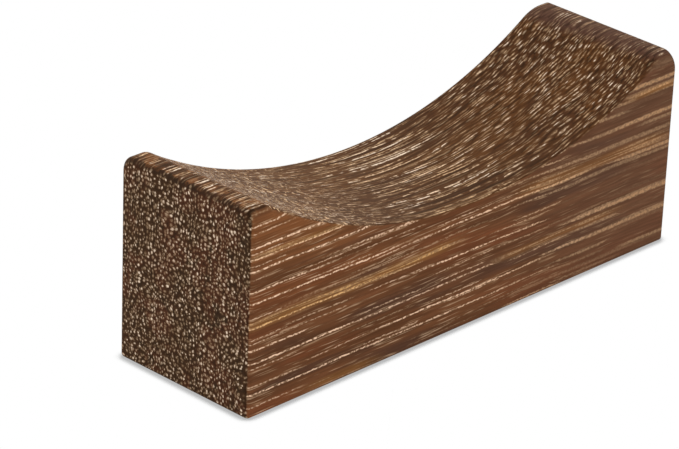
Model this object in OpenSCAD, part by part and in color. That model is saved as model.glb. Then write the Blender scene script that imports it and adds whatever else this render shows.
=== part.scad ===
/* [Block] */
// Length of the block, along the grain of the wood
block_len = 45; // [36:0.5:60]
// Width of the block, along the chopsticks that lie on it
block_w = 15.2; // [10:0.2:24]
// Height of the block at the tops of its two horns
block_h = 16.8; // [12:0.2:24]

/* [Saddle] */
// Depth of the saddle below the tops of the horns
saddle_depth = 6.4; // [3:0.1:8]
// Length of the flat top left on each horn
land_len = 1.8; // [1.2:0.1:4]

/* [Eased edges] */
// Radius on the two long top edges of each horn
top_round = 1.2; // [0.6:0.1:2]
// Radius on the short top edge at each end
end_round = 0.5; // [0.2:0.05:0.8]
// Radius on the four upright edges
corner_round = 0.4; // [0.2:0.05:1]
// Radius on the edges round the underside
base_round = 0.3; // [0.1:0.05:1]
// Radius on the rims where the saddle meets the long sides
rim_round = 0.3; // [0.1:0.05:0.6]
// Radius where the saddle meets the flat top of each horn
horn_round = 1; // [0.5:0.1:3]

/* [Hidden] */
$fn = 96;

// How far a cut runs past the face that it opens
overrun = 1;

half_len = block_len / 2;
half_w = block_w / 2;

// The saddle is an arc through the inner edges of the two lands, and this is half of its chord
saddle_half = half_len - land_len;
saddle_r = (pow(saddle_half, 2) + pow(saddle_depth, 2)) / (2 * saddle_depth);
saddle_axis_z = block_h - saddle_depth + saddle_r;

// An arc eases the edge between the saddle and each land. Its centre stands this share of its radius
// from both faces, so that the arc crosses them at a slight angle
reach_share = 0.998;
horn_reach = horn_round * reach_share;
horn_z = block_h - horn_reach;
horn_x = sqrt(pow(saddle_r + horn_reach, 2) - pow(saddle_axis_z - horn_z, 2));
meet_share = saddle_r / (saddle_r + horn_reach);
meet_x = horn_x * meet_share;
meet_z = saddle_axis_z - (saddle_axis_z - horn_z) * meet_share;

// A rectangle from its lower corner, with one radius on the two lower corners and one on the upper two
module eased_rectangle(length, height, low_r, high_r) {
    translate([0, low_r])
        square([length, height - low_r - high_r]);
    translate([low_r, 0])
        square([length - 2 * low_r, low_r]);
    translate([high_r, height - high_r])
        square([length - 2 * high_r, high_r]);
    for (x = [low_r, length - low_r])
        translate([x, low_r])
            circle(r = low_r);
    for (x = [high_r, length - high_r])
        translate([x, height - high_r])
            circle(r = high_r);
}

// What the block is from the long side, before the saddle
module side_outline() {
    translate([-half_len, 0])
        eased_rectangle(block_len, block_h, base_round, end_round);
}

// What the block is from its end
module end_outline() {
    translate([-half_w, 0])
        eased_rectangle(block_w, block_h, base_round, top_round);
}

// What the block is from above
module plan_outline() {
    translate([-half_len, -half_w])
        eased_rectangle(block_len, block_w, corner_round, corner_round);
}

// The sawn and eased block, standing on the XY plane
module eased_blank() {
    intersection() {
        linear_extrude(height = block_h)
            plan_outline();
        rotate([90, 0, 0])
            linear_extrude(height = block_w, center = true)
                side_outline();
        rotate([90, 0, 90])
            linear_extrude(height = block_len, center = true)
                end_outline();
    }
}

// Half of the saddle cutter's outline, from its middle to one side: it flares there, which eases the rim
module saddle_cutter_half() {
    square([saddle_r, half_w + overrun]);
    difference() {
        translate([saddle_r - overrun, half_w - rim_round])
            square([rim_round + overrun, rim_round + overrun]);
        translate([saddle_r + rim_round, half_w - rim_round])
            circle(r = rim_round);
    }
}

// The round cutter that leaves the saddle, turned about the saddle's axis
module saddle_cut() {
    translate([0, 0, saddle_axis_z])
        rotate([90, 0, 0])
            rotate_extrude() {
                saddle_cutter_half();
                mirror([0, 1])
                    saddle_cutter_half();
            }
}

// The sliver of wood between the land, the saddle and the arc that eases their edge
module horn_edge_cut() {
    rotate([90, 0, 0])
        linear_extrude(height = block_w + 2 * overrun, center = true)
            difference() {
                polygon([
                    [meet_x, meet_z],
                    [horn_x, block_h],
                    [horn_x, block_h + overrun],
                    [meet_x, block_h + overrun]
                ]);
                translate([horn_x, horn_z])
                    circle(r = horn_round);
            }
}

module rest_block() {
    color("#5b3a29")
        difference() {
            eased_blank();
            saddle_cut();
            horn_edge_cut();
            mirror([1, 0, 0])
                horn_edge_cut();
        }
}

rest_block();
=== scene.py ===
"""Dresses the chopstick rest: one block of dark, coarse grained hardwood with a saddle across its top."""

import functools
import math

import bpy
from mathutils import Matrix, Vector


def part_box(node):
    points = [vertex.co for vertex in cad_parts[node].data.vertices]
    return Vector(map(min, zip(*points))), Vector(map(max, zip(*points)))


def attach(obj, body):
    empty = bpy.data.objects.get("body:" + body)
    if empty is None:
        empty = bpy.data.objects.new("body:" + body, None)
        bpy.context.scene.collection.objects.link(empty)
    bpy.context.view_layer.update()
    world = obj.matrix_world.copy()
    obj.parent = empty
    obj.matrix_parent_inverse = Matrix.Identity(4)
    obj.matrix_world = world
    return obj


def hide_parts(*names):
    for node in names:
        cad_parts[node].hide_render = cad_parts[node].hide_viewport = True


bl_info = {
    "name": "Chopstick rest",
    "version": (1, 0, 0),
    "blender": (4, 5, 0),
    "location": "View3D > Sidebar > Rest",
    "description": "Builds a wooden chopstick rest in sanded and oiled wenge, and a plain stage for it",
    "category": "Object",
}

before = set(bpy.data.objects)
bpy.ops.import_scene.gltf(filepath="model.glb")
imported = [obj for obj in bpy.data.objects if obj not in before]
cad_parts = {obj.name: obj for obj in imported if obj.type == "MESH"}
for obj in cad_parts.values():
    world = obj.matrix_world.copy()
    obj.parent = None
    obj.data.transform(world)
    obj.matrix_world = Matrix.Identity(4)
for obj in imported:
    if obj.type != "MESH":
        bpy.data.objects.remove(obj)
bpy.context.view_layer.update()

MM = 0.001
BLOCK_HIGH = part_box("rest_block")[1]

# How wide the picture is that the camera is set up for, in pixels, and the sensor that stands for it
IMAGE_WIDTH = 679
SENSOR_WIDTH_MM = 36.0


def linear(colour):
    """Turns an sRGB hex colour into the linear colour that a shader takes."""
    channels = [int(colour[i:i + 2], 16) / 255 for i in (1, 3, 5)]
    return [c / 12.92 if c <= 0.04045 else ((c + 0.055) / 1.055) ** 2.4 for c in channels] + [1.0]


class RestSizes(bpy.types.PropertyGroup):
    """The sizes of the block. Its near end is the one at -X, its far end the one at +X, its front at -Y."""

    half_length: bpy.props.FloatProperty(
        name="Half length", description="Half of the block's length, along its grain",
        default=BLOCK_HIGH.x, unit="LENGTH")
    half_width: bpy.props.FloatProperty(
        name="Half width", description="Half of the block's width, along the chopsticks",
        default=BLOCK_HIGH.y, unit="LENGTH")
    height: bpy.props.FloatProperty(
        name="Height", description="Height of the block at its two horns",
        default=BLOCK_HIGH.z, unit="LENGTH")
    saddle_depth: bpy.props.FloatProperty(
        name="Saddle depth", description="Depth of the saddle below the tops of the horns",
        default=6.4 * MM, unit="LENGTH")
    near_land: bpy.props.FloatProperty(
        name="Near land", description="Length of the flat top on the near horn, before its edge is eased",
        default=1.8 * MM, unit="LENGTH")
    far_land: bpy.props.FloatProperty(
        name="Far land", description="Length of the flat top on the far horn, before its edge is eased",
        default=2.2 * MM, unit="LENGTH")
    near_ease: bpy.props.FloatProperty(
        name="Near horn rounding", description="Radius between the saddle and the land of the near horn",
        default=1.0 * MM, unit="LENGTH")
    far_ease: bpy.props.FloatProperty(
        name="Far horn rounding", description="Radius between the saddle and the land of the far horn",
        default=3.5 * MM, unit="LENGTH")
    near_top_round: bpy.props.FloatProperty(
        name="Near top rounding", description="Radius on both long top edges of the near horn",
        default=1.0 * MM, unit="LENGTH")
    far_front_round: bpy.props.FloatProperty(
        name="Far front rounding", description="Radius on the front top edge of the far horn",
        default=1.4 * MM, unit="LENGTH")
    far_back_round: bpy.props.FloatProperty(
        name="Far back rounding", description="Radius on the back top edge of the far horn",
        default=0.3 * MM, unit="LENGTH")
    far_skew: bpy.props.FloatProperty(
        name="Far end skew", description="How far the front of the far end stands short of its back",
        default=0.53 * MM, unit="LENGTH")
    far_tilt: bpy.props.FloatProperty(
        name="Far horn tilt", description="How far the top of the far horn falls from its back to its front",
        default=0.3 * MM, unit="LENGTH")
    rim_round: bpy.props.FloatProperty(
        name="Rim rounding", description="Radius on the rims where the saddle meets the long sides",
        default=0.3 * MM, unit="LENGTH")
    end_round: bpy.props.FloatProperty(
        name="End rounding", description="Radius on the short top edge at each end",
        default=0.5 * MM, unit="LENGTH")
    corner_round: bpy.props.FloatProperty(
        name="Corner rounding", description="Radius on the four upright edges",
        default=0.4 * MM, unit="LENGTH")
    base_round: bpy.props.FloatProperty(
        name="Base rounding", description="Radius on the edges round the underside",
        default=0.3 * MM, unit="LENGTH")


class WoodLook(bpy.types.PropertyGroup):
    """The colours of the wood, from its ground to the pale threads in it."""

    side_dark: bpy.props.FloatVectorProperty(
        name="Side, dark bands", description="Darker growth bands on the long sides",
        default=linear("#623d26"), subtype="COLOR", size=4)
    side_light: bpy.props.FloatVectorProperty(
        name="Side, light bands", description="Lighter growth bands on the long sides",
        default=linear("#794d31"), subtype="COLOR", size=4)
    side_russet: bpy.props.FloatVectorProperty(
        name="Side, russet", description="Redder stretches of the long sides",
        default=linear("#7c472b"), subtype="COLOR", size=4)
    side_smoky: bpy.props.FloatVectorProperty(
        name="Side, smoky", description="Greyer stretches of the long sides",
        default=linear("#54392d"), subtype="COLOR", size=4)
    side_far: bpy.props.FloatVectorProperty(
        name="Side, far end", description="The long sides toward the far end",
        default=linear("#694a39"), subtype="COLOR", size=4)
    side_ember: bpy.props.FloatVectorProperty(
        name="Side, warm corner", description="The warm upper corner of the long sides at the near end",
        default=linear("#86532f"), subtype="COLOR", size=4)
    figure: bpy.props.FloatVectorProperty(
        name="Gold figure", description="The gold streaks on the long sides",
        default=linear("#8c5e34"), subtype="COLOR", size=4)
    saddle_dark: bpy.props.FloatVectorProperty(
        name="Saddle, dark", description="Darker ground in the saddle",
        default=linear("#50301a"), subtype="COLOR", size=4)
    saddle_light: bpy.props.FloatVectorProperty(
        name="Saddle, light", description="Lighter ground in the saddle",
        default=linear("#5e391b"), subtype="COLOR", size=4)
    land_dark: bpy.props.FloatVectorProperty(
        name="Land, dark", description="Darker blotches on the flat tops of the horns",
        default=linear("#55341e"), subtype="COLOR", size=4)
    land_light: bpy.props.FloatVectorProperty(
        name="Land, light", description="Lighter blotches on the flat tops of the horns",
        default=linear("#7c4e2c"), subtype="COLOR", size=4)
    land_far: bpy.props.FloatVectorProperty(
        name="Land, far end", description="The flat top of the far horn",
        default=linear("#573b30"), subtype="COLOR", size=4)
    end_brown: bpy.props.FloatVectorProperty(
        name="End, brown", description="End grain between the dots",
        default=linear("#3d2716"), subtype="COLOR", size=4)
    end_russet: bpy.props.FloatVectorProperty(
        name="End, russet", description="Redder patches of end grain",
        default=linear("#4d2a1a"), subtype="COLOR", size=4)
    end_dark: bpy.props.FloatVectorProperty(
        name="End, dark", description="Darker growth bands of end grain",
        default=linear("#332316"), subtype="COLOR", size=4)
    streak: bpy.props.FloatVectorProperty(
        name="Streaks", description="Fine dark streaks along the grain",
        default=linear("#2f190c"), subtype="COLOR", size=4)
    pore: bpy.props.FloatVectorProperty(
        name="Pores", description="The oil filled pores between the threads",
        default=linear("#160a03"), subtype="COLOR", size=4)
    # The dark of the eased edges: partly oil soaked into them, partly painted shade on the rims toward the
    # back and the far end
    edge: bpy.props.FloatVectorProperty(
        name="Eased edges", description="The edges, where the oil soaked in and turned the wood dark",
        default=linear("#2c2018"), subtype="COLOR", size=4)
    side_thread: bpy.props.FloatVectorProperty(
        name="Side threads", description="Pale threads of soft tissue on the long sides",
        default=linear("#ffd6b4"), subtype="COLOR", size=4)
    figure_thread: bpy.props.FloatVectorProperty(
        name="Figure threads", description="Pale threads inside the gold streaks",
        default=linear("#f0bc7c"), subtype="COLOR", size=4)
    far_thread: bpy.props.FloatVectorProperty(
        name="Far threads", description="Pale threads on the long sides toward the far end",
        default=linear("#e6b07e"), subtype="COLOR", size=4)
    saddle_thread: bpy.props.FloatVectorProperty(
        name="Saddle dashes", description="Duller threads where the saddle cuts them slantwise",
        default=linear("#fad0a0"), subtype="COLOR", size=4)
    end_thread: bpy.props.FloatVectorProperty(
        name="End dots", description="Duller threads where the ends cut them across",
        default=linear("#f4d6ba"), subtype="COLOR", size=4)
    bright_thread: bpy.props.FloatVectorProperty(
        name="Bright threads", description="The brightest threads in the saddle and on the ends",
        default=linear("#ffe8ce"), subtype="COLOR", size=4)
    thread_rim: bpy.props.FloatVectorProperty(
        name="Rims of threads", description="Where a thread thins out into the brown",
        default=linear("#ecc698"), subtype="COLOR", size=4)
    oil_sheen: bpy.props.FloatVectorProperty(
        name="Oil sheen", description="Tint of the soft shine of the oiled fibres",
        default=linear("#ecb078"), subtype="COLOR", size=4)


class StageLook(bpy.types.PropertyGroup):
    """The floor and the light."""

    floor_half: bpy.props.FloatProperty(
        name="Half floor", description="Half of the floor's side", default=2.0, unit="LENGTH")
    paper: bpy.props.FloatVectorProperty(
        name="Paper", description="The white of the paper, as it lights the block",
        default=linear("#e6e6e6"), subtype="COLOR", size=4)
    light: bpy.props.FloatProperty(
        name="Light", description="Strength of the white light from all round", default=1.0, min=0)


def quarter(radius, inset):
    """How far a quarter round of this radius falls below its face, at this distance in from its edge."""
    if inset >= radius:
        return 0.0
    return radius - math.sqrt(radius ** 2 - (radius - inset) ** 2)


def smooth_step(value):
    """Eases a share from 0 to 1."""
    share = min(max(value, 0.0), 1.0)
    return share * share * (3 - 2 * share)


class HalfSaddle:
    """The line along the top from the middle to one end: saddle arc, eased edge of the horn, flat land.
    All its places are distances from the middle."""

    def __init__(self, sizes, land, ease):
        chord = sizes.half_length - land
        self.height = sizes.height
        self.radius = (chord ** 2 + sizes.saddle_depth ** 2) / (2 * sizes.saddle_depth)
        self.axis_z = sizes.height - sizes.saddle_depth + self.radius
        self.ease = ease
        self.ease_z = sizes.height - ease
        reach = self.radius + ease
        self.land_x = math.sqrt(reach ** 2 - (self.axis_z - self.ease_z) ** 2)
        self.meet_x = self.land_x * self.radius / reach

    def top(self, away):
        """Height of the top at this distance from the middle."""
        if away >= self.land_x:
            return self.height
        if away >= self.meet_x:
            return self.ease_z + math.sqrt(self.ease ** 2 - (self.land_x - away) ** 2)
        return self.axis_z - math.sqrt(self.radius ** 2 - away ** 2)


# Into how many steps the skin is cut: along half of the saddle, the edge of a horn, its land and the
# rounding at its end, then round half a corner, across the block and up its front
SADDLE_STEPS = 36
HORN_STEPS = 8
LAND_STEPS = 5
ROUND_STEPS = 7
CORNER_STEPS = 4
ACROSS_STEPS = 36
UPRIGHT_STEPS = 38


def half_stations(sizes, half):
    """Distances of the cross-sections from the middle to one end, closer where the block is round."""
    round_length = max(sizes.end_round, sizes.corner_round, sizes.base_round)
    land_end = sizes.half_length - round_length
    land_start = min(half.land_x, land_end)
    places = [half.meet_x * i / SADDLE_STEPS for i in range(SADDLE_STEPS)]
    places += [half.meet_x + (land_start - half.meet_x) * i / HORN_STEPS for i in range(HORN_STEPS)]
    if land_start < land_end:
        places += [land_start + (land_end - land_start) * i / LAND_STEPS for i in range(LAND_STEPS)]
    places += [land_end + round_length * math.sin(math.pi / 2 * i / ROUND_STEPS)
               for i in range(ROUND_STEPS + 1)]
    return places


# How far the saddle drops until its rims have taken over from the rounder top edges of the horns
RIM_DROP = 2.0 * MM


def cross_section(sizes, half, x):
    """Half width, lowest and highest level, and the radii of the lower, back and front corners at x."""
    inset = sizes.half_length - abs(x)
    top = half.top(abs(x))
    half_width = sizes.half_width - quarter(sizes.corner_round, inset)
    low = quarter(sizes.base_round, inset)
    high = top - quarter(sizes.end_round, inset)
    horn_share = 1 - smooth_step((sizes.height - top) / RIM_DROP)
    back = sizes.near_top_round if x < 0 else sizes.far_back_round
    front = sizes.near_top_round if x < 0 else sizes.far_front_round
    back = sizes.rim_round + (back - sizes.rim_round) * horn_share
    front = sizes.rim_round + (front - sizes.rim_round) * horn_share
    return half_width, low, high, sizes.base_round, back, front


def round_point(corner, angle):
    """The point of a round corner that faces this way."""
    y, z, radius = corner
    return (y + radius * math.cos(angle), z + radius * math.sin(angle))


def outline(half_width, low, high, low_radius, back_radius, front_radius):
    """Points round a cross-section with round corners, side by side from the underside,
    each side from the middle of one corner to the middle of the next."""
    corners = [
        (-half_width + low_radius, low + low_radius, low_radius),
        (half_width - low_radius, low + low_radius, low_radius),
        (half_width - back_radius, high - back_radius, back_radius),
        (-half_width + front_radius, high - front_radius, front_radius),
    ]
    points = []
    for side in range(4):
        first, second = corners[side], corners[(side + 1) % 4]
        facing = math.radians(90 * side - 90)
        steps = (ACROSS_STEPS, UPRIGHT_STEPS)[side % 2]
        for i in range(CORNER_STEPS):
            points.append(round_point(first, facing + math.pi / 4 * (i / CORNER_STEPS - 1)))
        start, stop = round_point(first, facing), round_point(second, facing)
        for i in range(steps):
            points.append(tuple(a + (b - a) * i / steps for a, b in zip(start, stop)))
        for i in range(CORNER_STEPS):
            points.append(round_point(second, facing + math.pi / 4 * i / CORNER_STEPS))
    return points


def end_cap(ring, x, vertices, faces, first, outward):
    """Closes one end with a grid of quads that follows the ring round it."""
    columns = ACROSS_STEPS + 2 * CORNER_STEPS
    rows = UPRIGHT_STEPS + 2 * CORNER_STEPS
    count = len(ring)
    index = {}
    for i in range(columns + 1):
        index[i, 0] = first + i
        index[i, rows] = first + columns + rows + (columns - i)
    for j in range(rows + 1):
        index[columns, j] = first + columns + j
        index[0, j] = first + (count - j) % count
    edge = {key: ring[value - first] for key, value in index.items()}
    for i in range(1, columns):
        for j in range(1, rows):
            u, v = i / columns, j / rows
            point = []
            for axis in range(2):
                across = (1 - v) * edge[i, 0][axis] + v * edge[i, rows][axis]
                upright = (1 - u) * edge[0, j][axis] + u * edge[columns, j][axis]
                corners = ((1 - u) * (1 - v) * edge[0, 0][axis] + u * (1 - v) * edge[columns, 0][axis]
                           + (1 - u) * v * edge[0, rows][axis] + u * v * edge[columns, rows][axis])
                point.append(across + upright - corners)
            index[i, j] = len(vertices)
            vertices.append((x, *point))
    for i in range(columns):
        for j in range(rows):
            quad = (index[i, j], index[i + 1, j], index[i + 1, j + 1], index[i, j + 1])
            faces.append(quad if outward > 0 else quad[::-1])


def skewed(sizes, x, y, z):
    """The same point after the far horn is cut a little out of square: its front stands short, and lower."""
    forward = 0.5 - y / (2 * sizes.half_width)
    start = sizes.half_length - sizes.far_land
    short = max(0.0, (x - start) / sizes.far_land) * sizes.far_skew
    fall = smooth_step(2 * x / sizes.half_length - 1) * z / sizes.height * sizes.far_tilt
    return (x - short * forward, y, z - fall * forward)


def block_mesh(sizes):
    """The whole block as one closed skin of quads."""
    near = HalfSaddle(sizes, sizes.near_land, sizes.near_ease)
    far = HalfSaddle(sizes, sizes.far_land, sizes.far_ease)
    places = [-x for x in reversed(half_stations(sizes, near)[1:])] + half_stations(sizes, far)
    vertices, faces, rings = [], [], []
    for x in places:
        ring = outline(*cross_section(sizes, near if x < 0 else far, x))
        rings.append(ring)
        vertices += [(x, y, z) for y, z in ring]
    count = len(rings[0])
    for k in range(len(places) - 1):
        for i in range(count):
            j = (i + 1) % count
            faces.append((k * count + i, k * count + j, (k + 1) * count + j, (k + 1) * count + i))
    end_cap(rings[0], places[0], vertices, faces, 0, -1)
    end_cap(rings[-1], places[-1], vertices, faces, (len(places) - 1) * count, 1)
    vertices = [skewed(sizes, *vertex) for vertex in vertices]
    mesh = bpy.data.meshes.new("oiled_block")
    mesh.from_pydata(vertices, [], faces)
    mesh.validate()
    mesh.shade_smooth()
    return mesh


def node(tree, kind, inputs=(), **settings):
    """Adds one node, sets its properties, and fills the sockets it shows, in their order or by their names,
    with values, or with links from sockets or nodes."""
    made = tree.nodes.new(kind)
    for name, value in settings.items():
        setattr(made, name, value)
    shown = [socket for socket in made.inputs if socket.enabled]
    if isinstance(inputs, dict):
        named = {socket.name: socket for socket in reversed(shown)}
        inputs = [(named[name], value) for name, value in inputs.items()]
    else:
        inputs = zip(shown, inputs)
    for socket, value in inputs:
        if isinstance(value, bpy.types.Node):
            value = next(output for output in value.outputs if output.enabled)
        if isinstance(value, bpy.types.NodeSocket):
            tree.links.new(value, socket)
        else:
            socket.default_value = value
    return made


def grain_noise(add, place, size, seed, detail=2.0):
    """Noise with grains of this size in mm."""
    cells = add("ShaderNodeVectorMath", (place, [1 / mm for mm in size], (seed, seed, seed)),
                operation="MULTIPLY_ADD")
    return add("ShaderNodeTexNoise", (cells, 1.0, detail))


def wander(add, place, size, reach, seed):
    """The place in mm, pushed about by noise with waves of this size, by up to half of this reach."""
    wave = grain_noise(add, place, size, seed, 1.0)
    push = add("ShaderNodeVectorMath", (wave.outputs["Color"], (0.5, 0.5, 0.5)), operation="SUBTRACT")
    return add("ShaderNodeVectorMath", (push, reach, place), operation="MULTIPLY_ADD")


def faded(add, value, by, low, high, at_low=0.0, at_high=1.0):
    """A value times a share that eases from one number to another as something else goes from low to high."""
    share = add("ShaderNodeMapRange", (by, low, high, at_low, at_high), interpolation_type="SMOOTHSTEP")
    return add("ShaderNodeMath", (value, share), operation="MULTIPLY")


def laid_over(add, under, over, by, low, high, at_low=0.0, at_high=1.0):
    """A colour laid over another, with a share that eases as something else goes from low to high."""
    share = add("ShaderNodeMapRange", (by, low, high, at_low, at_high), interpolation_type="SMOOTHSTEP")
    return add("ShaderNodeMix", (share, under, over), data_type="RGBA")


def off_line(add, place, level):
    """How far a place lies from a level, either way."""
    off = add("ShaderNodeMath", (place, level), operation="SUBTRACT")
    return add("ShaderNodeMath", (off,), operation="ABSOLUTE")


# How far a thread may stray from its even place, as a share of what keeps it from the next
THREADS_STRAY = 0.9


def cut_threads(add, place, apart, seed, shape, stray=THREADS_STRAY):
    """Threads that run along X without end, this far apart in mm:
    how far the nearest one's middle is, in shares of that, and three random shares that are its own."""
    cells = add("ShaderNodeVectorMath", (place, (1, 1 / apart, 1 / apart), (0, seed, seed)),
                operation="MULTIPLY_ADD")
    split = add("ShaderNodeSeparateXYZ", (cells,))
    plane = add("ShaderNodeCombineXYZ", (split.outputs["Y"], split.outputs["Z"]))
    cell = add("ShaderNodeTexVoronoi", {"Vector": plane, "Scale": 1.0, "Randomness": stray},
               voronoi_dimensions="2D")
    own = add("ShaderNodeSeparateColor", (cell.outputs["Color"],))
    away = add("ShaderNodeVectorMath", (plane, cell.outputs["Position"]), operation="SUBTRACT")
    away = add("ShaderNodeVectorMath", (away, shape), operation="MULTIPLY")
    distance = add("ShaderNodeVectorMath", (away,), operation="LENGTH")
    return distance.outputs["Value"], own


class Spot:
    """Where the spot that is coloured lies, in mm, and which way it faces, for all the patterns."""

    def __init__(self, add, sizes):
        coordinates = add("ShaderNodeTexCoord")
        self.place = add("ShaderNodeVectorMath", (coordinates.outputs["Object"], (1 / MM, 1 / MM, 1 / MM)),
                         operation="MULTIPLY")
        self.at = add("ShaderNodeSeparateXYZ", (self.place,))
        self.facing = add("ShaderNodeSeparateXYZ", (coordinates.outputs["Normal"],))
        self.end_on = add("ShaderNodeMath", (self.facing.outputs["X"],), operation="ABSOLUTE")
        self.side_on = add("ShaderNodeMath", (self.facing.outputs["Y"],), operation="ABSOLUTE")
        self.out = add("ShaderNodeMath", (self.at.outputs["X"],), operation="ABSOLUTE")
        # The line along which an end gives way to the land above it wavers by up to 0.6 mm
        self.half_length = sizes.half_length / MM
        waver = add("ShaderNodeMapRange", (grain_noise(add, self.place, (0.9, 0.8, 0.9), 91.3, 1.0),
                                           0.46, 0.62, 0.0, 0.9), interpolation_type="SMOOTHSTEP")
        waver = faded(add, waver, self.out, self.half_length - 1.2, self.half_length - 0.5)
        end_on = add("ShaderNodeMath", (self.end_on, waver), operation="ADD")
        self.end = add("ShaderNodeMapRange", (end_on, 0.6, 0.9), interpolation_type="SMOOTHSTEP")
        self.side = add("ShaderNodeMapRange", (self.side_on, 0.4, 0.8), interpolation_type="SMOOTHSTEP")
        self.far = add("ShaderNodeMapRange", (self.at.outputs["X"], -6, 22), interpolation_type="SMOOTHSTEP")
        level = add("ShaderNodeMapRange", (self.facing.outputs["Z"], 0.4, 0.75),
                    interpolation_type="SMOOTHSTEP")
        top = sizes.height / MM
        self.land = faded(add, level, self.at.outputs["Z"], top - 0.9, top - 0.3)

        # The tree's grain is never quite straight: it swings slowly, ripples, and is ragged close up
        self.swung = wander(add, self.place, (35, 9, 9), (0, 1.2, 1.2), 3.3)
        self.rippled = wander(add, self.swung, (14, 2.0, 2.6), (0, 1.3, 0.3), 7.7)
        self.ragged = wander(add, self.rippled, (0.8, 0.25, 0.25), (0, 0.16, 0.12), 9.9)
        self.side_waved = wander(add, self.place, (9, 50, 3), (0, 0, 0.45), 31.1)
        # Each thread is a row of cells, about 0.2 mm each
        self.beads = grain_noise(add, self.rippled, (0.24, 0.20, 0.20), 11.1, 1.0)


# How far apart the threads lie, and the fainter ones between them. They are 0.1 to 0.25 mm thick.
THREADS_APART_MM = 0.37
FAINT_THREADS_APART_MM = 0.31


def thread_ends(add, spot):
    """The pale threads where they are cut across or slantwise, as dots and dashes, with the dark gaps
    between them and how bright each thread is."""
    narrow = add("ShaderNodeMapRange", (spot.end, 0, 1, 1.3, 1.05))
    tall = add("ShaderNodeMapRange", (spot.end, 0, 1, 0.62, 0.9))
    shape = add("ShaderNodeCombineXYZ", (narrow, tall))
    distance, own = cut_threads(add, spot.ragged, THREADS_APART_MM, 0.0, shape, 0.85)

    # Threads run fat and thin in strands a few mm tall, look finer off the ends, and broader in the trough
    strand = grain_noise(add, spot.rippled, (16, 0.42, 2.2), 17.1, 1.0)
    reach = add("ShaderNodeMapRange", (strand, 0.35, 0.65, 0.18, 0.31), interpolation_type="SMOOTHSTEP")
    reach = faded(add, reach, spot.end, 0, 1, 0.8, 1.0)
    reach = faded(add, reach, spot.end_on, 0.05, 0.25, 1.4, 1.0)
    inside = add("ShaderNodeMath", (reach, distance), operation="SUBTRACT")
    dots = add("ShaderNodeMapRange", (inside, -0.12, 0.16), interpolation_type="SMOOTHSTEP")
    dots = faded(add, dots, own.outputs["Red"], 0.0, 1.0, 0.28, 1.0)
    dots = faded(add, dots, spot.beads, 0.38, 0.62, 0.45, 1.0)

    # Where the saddle runs along the threads, it cuts in and out of them every millimetre or so
    gaps = grain_noise(add, spot.ragged, (0.9, 0.3, 0.5), 19.3, 1.0)
    breaks = add("ShaderNodeMapRange", (gaps, 0.40, 0.52), interpolation_type="SMOOTHSTEP")
    unbroken = add("ShaderNodeMapRange", (spot.end_on, 0.12, 0.42), interpolation_type="SMOOTHSTEP")
    kept = add("ShaderNodeMath", (breaks, unbroken), operation="MAXIMUM")
    dots = add("ShaderNodeMath", (dots, kept), operation="MULTIPLY")
    dots = faded(add, dots, spot.end_on, 0.05, 0.22, 1.45, 0.92)

    # Fainter and finer threads lie between
    faint_distance, faint_own = cut_threads(add, spot.ragged, FAINT_THREADS_APART_MM, 40.5, shape)
    faint = add("ShaderNodeMapRange", (faint_distance, 0.35, 0.05), interpolation_type="SMOOTHSTEP")
    faint = faded(add, faint, faint_own.outputs["Red"], 0.3, 1.0, 0.0, 0.35)
    dots = add("ShaderNodeMath", (dots, faint), operation="MAXIMUM")

    # They stand out a little more on the near land, and much less on the far one
    far_land = add("ShaderNodeMath", (spot.land, spot.far), operation="MULTIPLY")
    dots = faded(add, dots, spot.land, 0, 1, 1.0, 1.1)
    dots = faded(add, dots, far_land, 0, 1, 1.0, 0.4)

    # Scraps of thread that the cutter lifted, 0.2 by 0.35 mm, carry a painted glint on the near slope, which
    # faces +X, but not on the far end
    scraps = grain_noise(add, spot.ragged, (0.22, 0.36, 9.0), 83.1, 1.0)
    painted_slope_glints = add("ShaderNodeMapRange", (scraps, 0.58, 0.70, 0.0, 0.9), interpolation_type="SMOOTHSTEP")
    painted_slope_glints = faded(add, painted_slope_glints, spot.facing.outputs["X"], 0.12, 0.42)
    painted_slope_glints = faded(add, painted_slope_glints, spot.facing.outputs["X"], 0.9, 0.7)
    dots = add("ShaderNodeMath", (dots, painted_slope_glints), operation="MAXIMUM")

    pores = add("ShaderNodeMapRange", (distance, 0.36, 0.66), interpolation_type="SMOOTHSTEP")
    pores = faded(add, pores, own.outputs["Green"], 0.0, 1.0, 0.4, 1.0)
    pores = faded(add, pores, spot.side, 0, 1, 0.7, 0.0)
    return dots, pores, own.outputs["Red"]


# The two layers of threads on the sides: how far apart they are and how long and how thick, in mm,
# how far they are shifted along, in lengths, how few of them show, and how strongly
SIDE_THREADS = (
    (1.25, 20.0, 0.055, 17.7, 0.05, 1.0),
    (0.8, 7.0, 0.042, 70.8, 0.3, 0.6),
)


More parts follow.
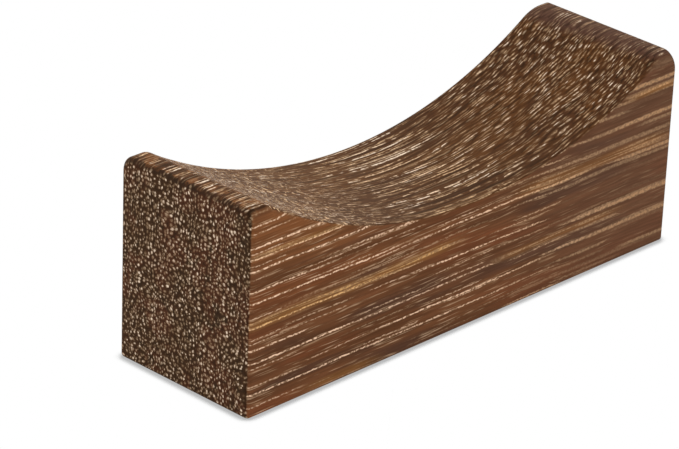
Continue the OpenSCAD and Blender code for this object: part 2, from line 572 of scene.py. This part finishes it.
def side_threads(add, spot):
    """The pale threads where the long sides show them lengthwise. They look blurred toward the far end."""
    ragged = wander(add, spot.side_waved, (0.38, 50, 0.26), (0, 0, 0.16), 37.7)
    flat = add("ShaderNodeSeparateXYZ", (ragged,))
    soft = add("ShaderNodeMapRange", (spot.far, 0.3, 1, 1.0, 2.6), interpolation_type="SMOOTHSTEP")
    threads = 0.0
    for apart, length, thick, shift, few, strength in SIDE_THREADS:
        along = add("ShaderNodeMath", (flat.outputs["X"], 1 / length, shift), operation="MULTIPLY_ADD")
        upright = add("ShaderNodeMath", (flat.outputs["Z"], apart), operation="DIVIDE")
        plane = add("ShaderNodeCombineXYZ", (along, upright))
        cell = add("ShaderNodeTexVoronoi", {"Vector": plane, "Scale": 1.0, "Randomness": THREADS_STRAY},
                   voronoi_dimensions="2D")
        own = add("ShaderNodeSeparateColor", (cell.outputs["Color"],))
        away = add("ShaderNodeVectorMath", (plane, cell.outputs["Position"]), operation="SUBTRACT")
        away = add("ShaderNodeSeparateXYZ", (away,))
        rise = add("ShaderNodeMath", (away.outputs["Y"], apart), operation="MULTIPLY")
        rise = add("ShaderNodeMath", (rise,), operation="ABSOLUTE")
        rise = add("ShaderNodeMath", (rise, soft), operation="DIVIDE")
        line = add("ShaderNodeMapRange", (rise, thick * 1.7, thick * 0.5), interpolation_type="SMOOTHSTEP")
        beyond = add("ShaderNodeMath", (away.outputs["X"],), operation="ABSOLUTE")
        line = faded(add, line, beyond, 0.62, 0.30)
        line = faded(add, line, own.outputs["Red"], few, 0.75, 0.0, strength)
        threads = add("ShaderNodeMath", (threads, line), operation="MAXIMUM")
    floor = add("ShaderNodeMapRange", (spot.far, 0, 1, 0.2, 0.5), interpolation_type="SMOOTHSTEP")
    beads = add("ShaderNodeMapRange", (spot.beads, 0.40, 0.56, floor, 1.0))
    threads = add("ShaderNodeMath", (threads, beads), operation="MULTIPLY")
    return faded(add, threads, spot.far, 0, 1, 1.0, 0.5)


# The gold streaks of this block: height and half width, from where and to where, all in mm, and strength
FIGURE_STREAKS = (
    (7.6, 0.42, -24.0, -1.0, 1.0),
    (13.1, 0.22, -23.0, -11.0, 0.8),
    (0.6, 0.3, -17.0, -9.0, 0.8),
    (9.6, 0.5, 4.0, 22.0, 0.6),
    (4.6, 0.3, 2.0, 17.0, 0.5),
    (14.0, 0.3, 16.0, 30.0, 0.9),
)


def gold_figure(add, spot):
    """The broad gold streaks on the long sides, and the fine bright threads in them."""
    at = add("ShaderNodeSeparateXYZ", (spot.side_waved,))
    figure = 0.0
    for height, half_width, start, end, strength in FIGURE_STREAKS:
        rise = off_line(add, at.outputs["Z"], height)
        streak = add("ShaderNodeMapRange", (rise, half_width * 1.5, half_width * 0.3, 0.0, strength),
                     interpolation_type="SMOOTHSTEP")
        beyond = off_line(add, at.outputs["X"], (start + end) / 2)
        half_length = (end - start) / 2
        streak = faded(add, streak, beyond, half_length + 1, half_length - 3)
        figure = add("ShaderNodeMath", (figure, streak), operation="MAXIMUM")
    fine = grain_noise(add, spot.side_waved, (8, 50, 0.22), 61.1, 1.0)
    glint = faded(add, figure, fine, 0.5, 0.62, 0.0, 0.7)
    glint = faded(add, glint, spot.beads, 0.40, 0.60, 0.35, 1.0)
    # Flecks of soft tissue 0.1 mm thick are strewn all over the sides
    flecks = grain_noise(add, spot.side_waved, (2.4, 50, 0.12), 67.7, 1.0)
    flecks = add("ShaderNodeMapRange", (flecks, 0.58, 0.78, 0.0, 0.4), interpolation_type="SMOOTHSTEP")
    flecks = faded(add, flecks, spot.far, 0, 1, 1.0, 0.3)
    return figure, add("ShaderNodeMath", (glint, flecks), operation="MAXIMUM")


def oiled_and_shaded_edges(add, spot):
    """The eased edges, darkened partly by the oil that soaked in and partly by painted shade, which is
    darkest at the back and the far end.
    """
    across = add("ShaderNodeMapRange", (spot.side_on, 0.15, 0.5), interpolation_type="SMOOTHSTEP")
    across = faded(add, across, spot.side_on, 0.99, 0.9)
    end = add("ShaderNodeMapRange", (spot.out, spot.half_length - 0.7, spot.half_length - 0.4),
              interpolation_type="SMOOTHSTEP")
    end = faded(add, end, spot.end_on, 0.15, 0.5)
    end = faded(add, end, spot.end_on, 0.99, 0.9)
    under = add("ShaderNodeMapRange", (spot.facing.outputs["Z"], -0.1, -0.4),
                interpolation_type="SMOOTHSTEP")
    edges = add("ShaderNodeMath", (across, end), operation="MAXIMUM")
    edges = add("ShaderNodeMath", (edges, under), operation="MAXIMUM")
    # Painted shade: how much the edges darken where they face the back or the far end
    back = add("ShaderNodeMapRange", (spot.facing.outputs["Y"], -0.6, 0.5, 0.0, 0.9),
               interpolation_type="SMOOTHSTEP")
    far_end_shade = add("ShaderNodeMapRange", (spot.facing.outputs["X"], 0.1, 0.5, 0.0, 0.9),
                  interpolation_type="SMOOTHSTEP")
    far_end_shade = faded(add, far_end_shade, spot.at.outputs["X"], 0, 12)
    strength = add("ShaderNodeMath", (back, far_end_shade), operation="MAXIMUM")
    return add("ShaderNodeMath", (edges, strength), operation="MULTIPLY")


def side_ground(add, spot, look, broad, patch, figure):
    """The ground colour of the long sides."""
    ground = laid_over(add, look.side_dark, look.side_light, broad, 0.35, 0.65)
    ground = laid_over(add, ground, look.side_russet, patch, 0.50, 0.66, 0.0, 0.8)
    ground = laid_over(add, ground, look.side_smoky, patch, 0.46, 0.34, 0.0, 0.8)
    ground = laid_over(add, ground, look.side_far, spot.far, 0, 1, 0.0, 0.6)
    ember = add("ShaderNodeMapRange", (broad, 0.35, 0.6, 0.2, 0.75), interpolation_type="SMOOTHSTEP")
    ember = faded(add, ember, spot.at.outputs["X"], 0, -14)
    ember = faded(add, ember, spot.at.outputs["Z"], 7, 12)
    ground = add("ShaderNodeMix", (ember, ground, look.side_ember), data_type="RGBA")
    return add("ShaderNodeMix", (figure, ground, look.figure), data_type="RGBA")


def cut_ground(add, spot, look, broad, patch):
    """The ground colour of the saddle, the lands and the ends."""
    blotch = grain_noise(add, spot.place, (0.9, 0.8, 0.9), 71.7, 1.0)
    saddle = laid_over(add, look.saddle_dark, look.saddle_light, patch, 0.4, 0.62)
    land = laid_over(add, look.land_dark, look.land_light, blotch, 0.42, 0.58)
    land = add("ShaderNodeMix", (spot.far, land, look.land_far), data_type="RGBA")
    saddle = add("ShaderNodeMix", (spot.land, saddle, land), data_type="RGBA")
    end = laid_over(add, look.end_brown, look.end_russet, patch, 0.42, 0.60)
    end = laid_over(add, end, look.end_dark, broad, 0.5, 0.7)
    return add("ShaderNodeMix", (spot.end, saddle, end), data_type="RGBA")


def thread_colour(add, spot, look, figure, brightness, pale):
    """The colour of the pale threads on each face. The brighter are whiter, and their rims are golden."""
    side = add("ShaderNodeMix", (figure, look.side_thread, look.figure_thread), data_type="RGBA")
    side = add("ShaderNodeMix", (spot.far, side, look.far_thread), data_type="RGBA")
    cut = add("ShaderNodeMix", (spot.end, look.saddle_thread, look.end_thread), data_type="RGBA")
    cut = laid_over(add, cut, look.bright_thread, brightness, 0.4, 1.0)
    thread = add("ShaderNodeMix", (spot.side, cut, side), data_type="RGBA")
    return laid_over(add, look.thread_rim, thread, pale, 0.05, 0.6)


# How far the threads stand up from the wood between them, and how rough the two are
THREAD_RELIEF = 0.03 * MM
THREAD_ROUGHNESS = 0.42
GROUND_ROUGHNESS = 0.55


def wenge(sizes, look):
    """Wenge, sanded and oiled: a chocolate brown wood, full of pale threads of soft tissue along the block.
    The eye sees them as dots on the ends, as dashes where the saddle cuts them slantwise, and as threads
    on the sides. The oil leaves a low, soft shine, a little more of it on the threads than between them."""
    material = bpy.data.materials.new("wenge_sanded_and_oiled")
    material.use_nodes = True
    tree = material.node_tree
    shader = tree.nodes["Principled BSDF"]
    add = functools.partial(node, tree)
    spot = Spot(add, sizes)

    # The eased edges, darkened partly by oil and partly by painted shade; the threads fade there too
    edges = oiled_and_shaded_edges(add, spot)
    dots, pores, brightness = thread_ends(add, spot)
    dots = faded(add, dots, edges, 0.0, 0.6, 1.0, 0.25)
    figure, glint = gold_figure(add, spot)
    lines = add("ShaderNodeMath", (side_threads(add, spot), glint), operation="MAXIMUM")
    pale = add("ShaderNodeMix", (spot.side, dots, lines), data_type="FLOAT")

    # Growth bands 1.2 mm apart, streaks 0.2 mm wide, and patches of 2 to 3 mm
    broad = grain_noise(add, spot.swung, (30, 1.2, 1.2), 21.1, 3.0)
    fine = grain_noise(add, spot.swung, (5, 0.2, 0.2), 23.3, 2.0)
    patch = grain_noise(add, spot.swung, (18, 2.6, 2.6), 29.9, 2.0)
    ground = add("ShaderNodeMix", (spot.side, cut_ground(add, spot, look, broad, patch),
                                   side_ground(add, spot, look, broad, patch, figure)), data_type="RGBA")
    ground = laid_over(add, ground, look.streak, fine, 0.35, 0.65, 0.0, 0.3)
    ground = add("ShaderNodeMix", (pores, ground, look.pore), data_type="RGBA")
    # Lays the oil and the painted shade of the eased edges over the ground
    ground = add("ShaderNodeMix", (edges, ground, look.edge), data_type="RGBA")
    threads = thread_colour(add, spot, look, figure, brightness, pale)
    colour = add("ShaderNodeMix", (pale, ground, threads), data_type="RGBA")
    tree.links.new(colour.outputs["Result"], shader.inputs["Base Color"])

    roughness = add("ShaderNodeMapRange", (pale, 0, 1, GROUND_ROUGHNESS, THREAD_ROUGHNESS),
                    interpolation_type="SMOOTHSTEP")
    tree.links.new(roughness.outputs["Result"], shader.inputs["Roughness"])
    bump = add("ShaderNodeBump", {"Strength": 0.5, "Distance": THREAD_RELIEF, "Height": pale})
    tree.links.new(bump.outputs["Normal"], shader.inputs["Normal"])
    shader.inputs["Specular IOR Level"].default_value = 0.03
    shader.inputs["Sheen Weight"].default_value = 0.16
    shader.inputs["Sheen Roughness"].default_value = 0.5
    shader.inputs["Sheen Tint"].default_value = look.oil_sheen
    return material


# How far the dark close under the block reaches, and the grey that it comes down to
CONTACT_REACH = 0.75 * MM
CONTACT_GREY = 0.49


def white_paper(look):
    """Matt white paper. What is looked at or mirrored is pure white but for the dark close under the block,
    and the light that it throws on the block is that of real paper."""
    material = bpy.data.materials.new("white_paper")
    material.use_nodes = True
    tree = material.node_tree
    tree.nodes.remove(tree.nodes["Principled BSDF"])
    add = functools.partial(node, tree)
    contact = add("ShaderNodeAmbientOcclusion", {"Distance": CONTACT_REACH}, samples=8)
    grey = add("ShaderNodeMapRange", (contact.outputs["AO"], 0.55, 0.95, CONTACT_GREY, 1.0),
               interpolation_type="SMOOTHSTEP")
    shown = add("ShaderNodeEmission", (grey, 1.0))
    real = add("ShaderNodeBsdfDiffuse", (look.paper,))
    path = add("ShaderNodeLightPath")
    looked_at = add("ShaderNodeMath", (path.outputs["Is Camera Ray"], path.outputs["Is Glossy Ray"]),
                    operation="MAXIMUM")
    looked_at = add("ShaderNodeMath", (looked_at, path.outputs["Is Transmission Ray"]), operation="MAXIMUM")
    paper = add("ShaderNodeMixShader", (looked_at, real, shown))
    tree.links.new(paper.outputs["Shader"], tree.nodes["Material Output"].inputs["Surface"])
    return material


class REST_OT_block(bpy.types.Operator):
    """Builds the block and dresses it in wood"""

    bl_idname = "chopstick_rest.block"
    bl_label = "Block"

    def execute(self, context):
        sizes = context.scene.rest_sizes
        if sizes.saddle_depth >= sizes.height:
            raise ValueError("The saddle is deeper than the block is high")
        mesh = block_mesh(sizes)
        mesh.materials.append(wenge(sizes, context.scene.rest_wood))
        block = bpy.data.objects.new("oiled_block", mesh)
        context.scene.collection.objects.link(block)
        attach(block, "root")
        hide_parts("rest_block")
        return {"FINISHED"}


# Where the camera stands and how it looks, fitted to the block's own edges in the picture
CAMERA_PLACE_MM = (-165.28, -173.04, 115.28)
CAMERA_AZIMUTH = 42.44
CAMERA_DOWN = 24.496
CAMERA_ROLL = -1.42
CAMERA_FOCAL_PX = 3337.6
# The picture leans, for a reason that is not known: it moves sideways by this share of its height
CAMERA_LEAN = 0.0645


def add_camera(context):
    """Adds the camera. Its lean is a shear, which only the link to a stand can hold."""
    azimuth, down, roll = map(math.radians, (CAMERA_AZIMUTH, CAMERA_DOWN, CAMERA_ROLL))
    ahead = Vector((math.sin(azimuth) * math.cos(down), math.cos(azimuth) * math.cos(down), -math.sin(down)))
    level = Vector((math.cos(azimuth), -math.sin(azimuth), 0))
    right = level * math.cos(roll) + level.cross(ahead) * math.sin(roll)
    up = right.cross(ahead)
    data = bpy.data.cameras.new("camera")
    data.sensor_width = SENSOR_WIDTH_MM
    data.lens = CAMERA_FOCAL_PX / IMAGE_WIDTH * SENSOR_WIDTH_MM
    data.clip_start = 0.01
    data.clip_end = 20
    camera = bpy.data.objects.new("camera", data)
    context.scene.collection.objects.link(camera)
    stand = bpy.data.objects.new("camera_stand", None)
    context.scene.collection.objects.link(stand)
    leaning = Matrix((right, up - right * CAMERA_LEAN, -ahead)).transposed().to_4x4()
    leaning.translation = Vector(CAMERA_PLACE_MM) * MM
    camera.parent = stand
    camera.matrix_parent_inverse = leaning
    context.scene.camera = camera


class REST_OT_stage(bpy.types.Operator):
    """Adds the floor, the light and the camera"""

    bl_idname = "chopstick_rest.stage"
    bl_label = "Stage"

    def execute(self, context):
        look = context.scene.rest_stage
        half = look.floor_half
        mesh = bpy.data.meshes.new("floor")
        mesh.from_pydata([(-half, -half, 0), (half, -half, 0), (half, half, 0), (-half, half, 0)],
                         [], [(0, 1, 2, 3)])
        mesh.materials.append(white_paper(look))
        floor = bpy.data.objects.new("floor", mesh)
        context.scene.collection.objects.link(floor)
        world = bpy.data.worlds.new("studio")
        world.use_nodes = True
        background = world.node_tree.nodes["Background"]
        background.inputs["Color"].default_value = linear("#ffffff")
        background.inputs["Strength"].default_value = look.light
        context.scene.world = world
        context.scene.view_settings.view_transform = "Standard"
        add_camera(context)
        return {"FINISHED"}


class REST_PT_panel(bpy.types.Panel):
    """Lists what the rest is built from, and its sizes and colours"""

    bl_idname = "REST_PT_panel"
    bl_label = "Chopstick rest"
    bl_space_type = "VIEW_3D"
    bl_region_type = "UI"
    bl_category = "Rest"

    def draw(self, context):
        scene = context.scene
        for operator in (REST_OT_block, REST_OT_stage):
            self.layout.operator(operator.bl_idname)
        for group in (scene.rest_sizes, scene.rest_wood, scene.rest_stage):
            for name in type(group).__annotations__:
                self.layout.prop(group, name)


CLASSES = (RestSizes, WoodLook, StageLook, REST_OT_block, REST_OT_stage, REST_PT_panel)


def register():
    """Makes the classes known to Blender, and gives every scene its sizes and colours."""
    for cls in CLASSES:
        bpy.utils.register_class(cls)
    bpy.types.Scene.rest_sizes = bpy.props.PointerProperty(type=RestSizes)
    bpy.types.Scene.rest_wood = bpy.props.PointerProperty(type=WoodLook)
    bpy.types.Scene.rest_stage = bpy.props.PointerProperty(type=StageLook)


def unregister():
    """Takes back what register() did."""
    del bpy.types.Scene.rest_stage
    del bpy.types.Scene.rest_wood
    del bpy.types.Scene.rest_sizes
    for cls in reversed(CLASSES):
        bpy.utils.unregister_class(cls)


def main():
    """Registers the classes, and builds the block and its stage."""
    register()
    bpy.ops.chopstick_rest.block()
    bpy.ops.chopstick_rest.stage()


if __name__ == "__main__":
    main()
